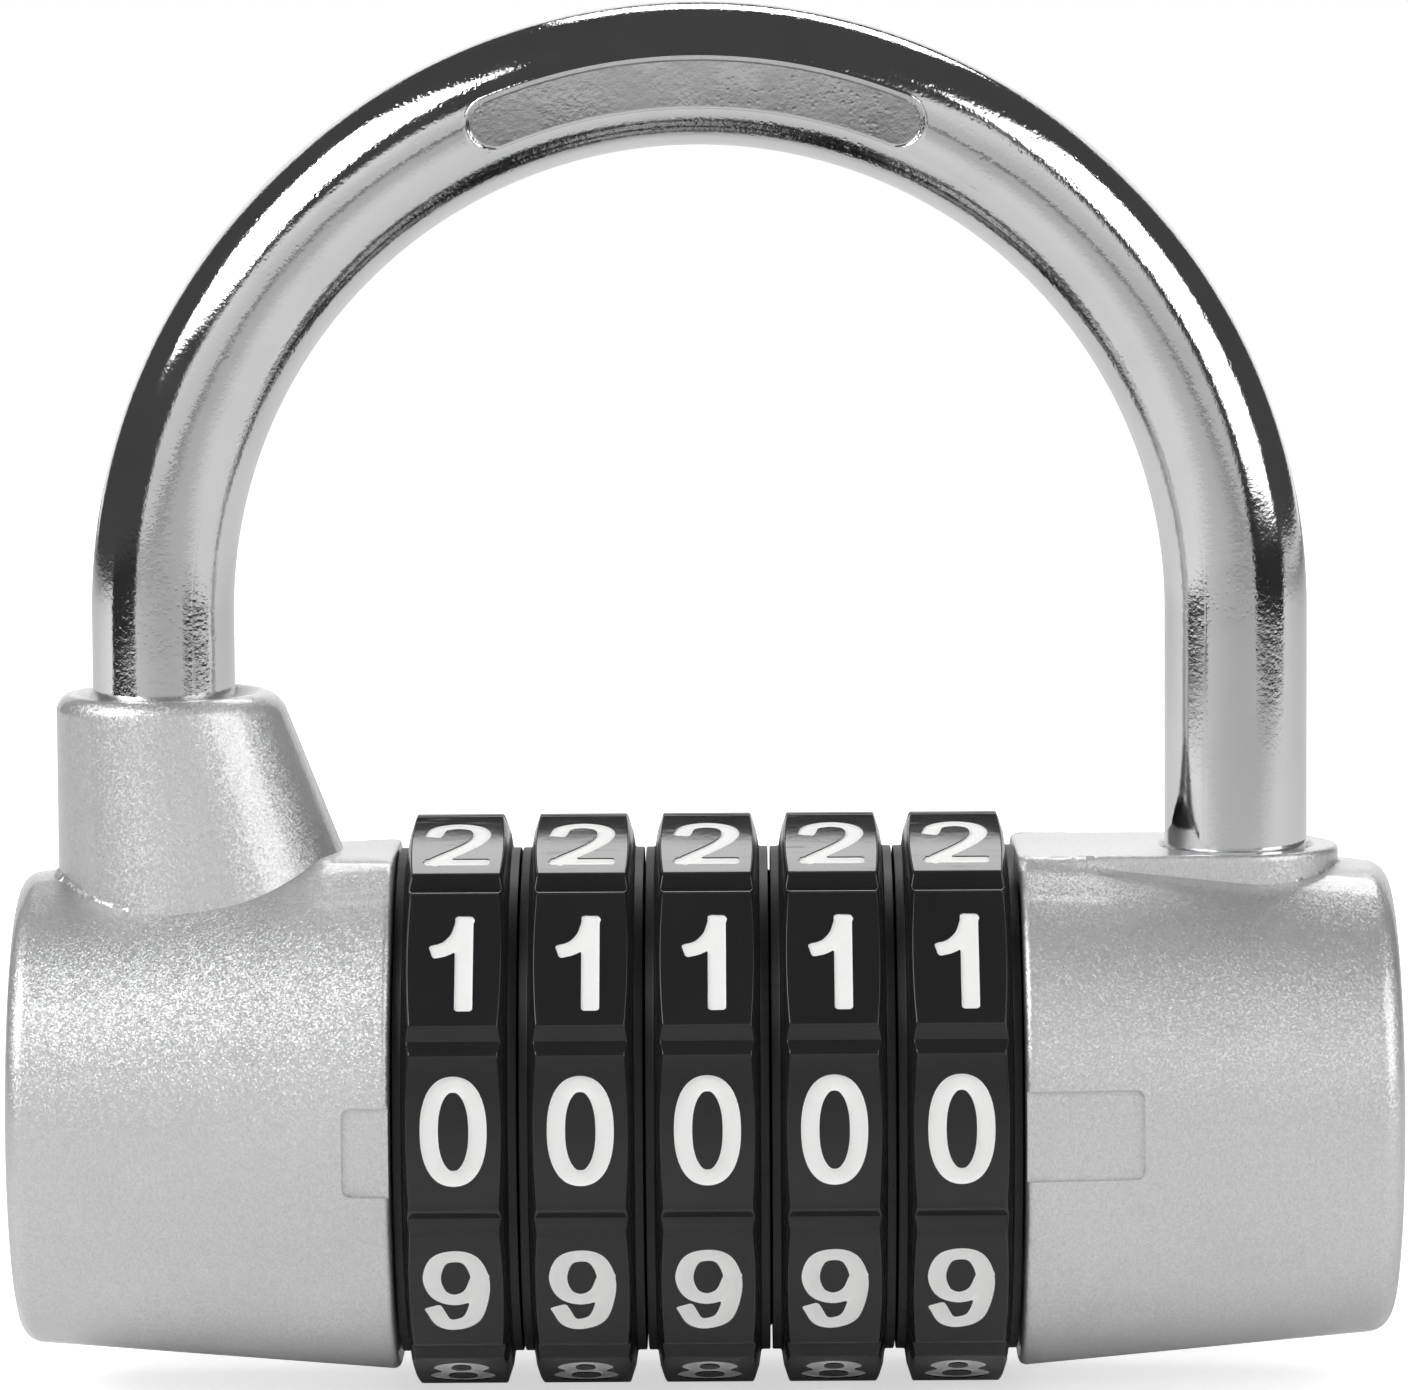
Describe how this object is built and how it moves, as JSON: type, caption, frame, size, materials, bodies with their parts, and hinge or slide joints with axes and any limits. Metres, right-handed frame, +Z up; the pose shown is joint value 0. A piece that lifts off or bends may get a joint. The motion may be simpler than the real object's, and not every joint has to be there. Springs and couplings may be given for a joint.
{
  "type": "combination padlock",
  "caption": "Padlock with a wide round shackle, tapered end housings and a row of numbered dials that turn about a common axis.",
  "frame": {"origin": "where the padlock hangs: the middle of the underside of the shackle's bow", "axes": "+Z up through the bow's top, +X along the dials' axis to the reader's right, the numbers are read from -Y"},
  "size_m": [0.077, 0.0314, 0.0779],
  "materials": {
    "chrome": "polished chrome plate on hardened steel bar",
    "silver_paint": "satin silver metallic paint on zinc casting",
    "black_plastic": "glossy black moulding with white numerals",
    "bare_steel": "plain machined steel",
    "brass": "plain turned brass"
  },
  "bodies": {
    "lock_body": {"left_housing": "silver_paint", "right_housing": "silver_paint", "core_tube": "bare_steel", "click_spring": "bare_steel", "spindle_spring": "bare_steel", "shackle_retaining_pin": "bare_steel", "tube_screws": "bare_steel", "housing_screw": "bare_steel"},
    "shackle_body": {"shackle": "chrome"},
    "spindle_body": {"spindle": "bare_steel", "latch_plate": "bare_steel"},
    "dial_body_1": {"dial_1": "black_plastic", "code_sleeve_1": "brass"},
    "dial_body_2": {"dial_2": "black_plastic", "code_sleeve_2": "brass"},
    "dial_body_3": {"dial_3": "black_plastic", "code_sleeve_3": "brass"},
    "dial_body_4": {"dial_4": "black_plastic", "code_sleeve_4": "brass"},
    "dial_body_5": {"dial_5": "black_plastic", "code_sleeve_5": "brass"}
  },
  "joints": [
    {"name": "shackle_lift", "type": "slide", "parent": "lock_body", "child": "shackle_body", "axis": [0, 0, 1], "range_m": [0, 0.011]},
    {"name": "spindle_slide", "type": "slide", "parent": "lock_body", "child": "spindle_body", "axis": [-1, 0, 0], "range_m": [0, 0.004], "stiffness_N_per_m": 100, "springref_m": -0.003, "deforming": ["spindle_spring"]},
    {"name": "dial_1_turn", "type": "hinge", "parent": "lock_body", "child": "dial_body_1", "pos_m": [-0.01353, 0, -0.05378], "axis": [1, 0, 0], "continuous": true, "deforming": ["click_spring"]},
    {"name": "dial_2_turn", "type": "hinge", "parent": "lock_body", "child": "dial_body_2", "pos_m": [-0.00659, 0, -0.05378], "axis": [1, 0, 0], "continuous": true, "deforming": ["click_spring"]},
    {"name": "dial_3_turn", "type": "hinge", "parent": "lock_body", "child": "dial_body_3", "pos_m": [0.00035, 0, -0.05378], "axis": [1, 0, 0], "continuous": true, "deforming": ["click_spring"]},
    {"name": "dial_4_turn", "type": "hinge", "parent": "lock_body", "child": "dial_body_4", "pos_m": [0.00729, 0, -0.05378], "axis": [1, 0, 0], "continuous": true, "deforming": ["click_spring"]},
    {"name": "dial_5_turn", "type": "hinge", "parent": "lock_body", "child": "dial_body_5", "pos_m": [0.01423, 0, -0.05378], "axis": [1, 0, 0], "continuous": true, "deforming": ["click_spring"]}
  ],
  "couplings": [
    {"joint": "spindle_slide", "follows": "shackle_lift", "ratio": 0.36364}
  ]
}
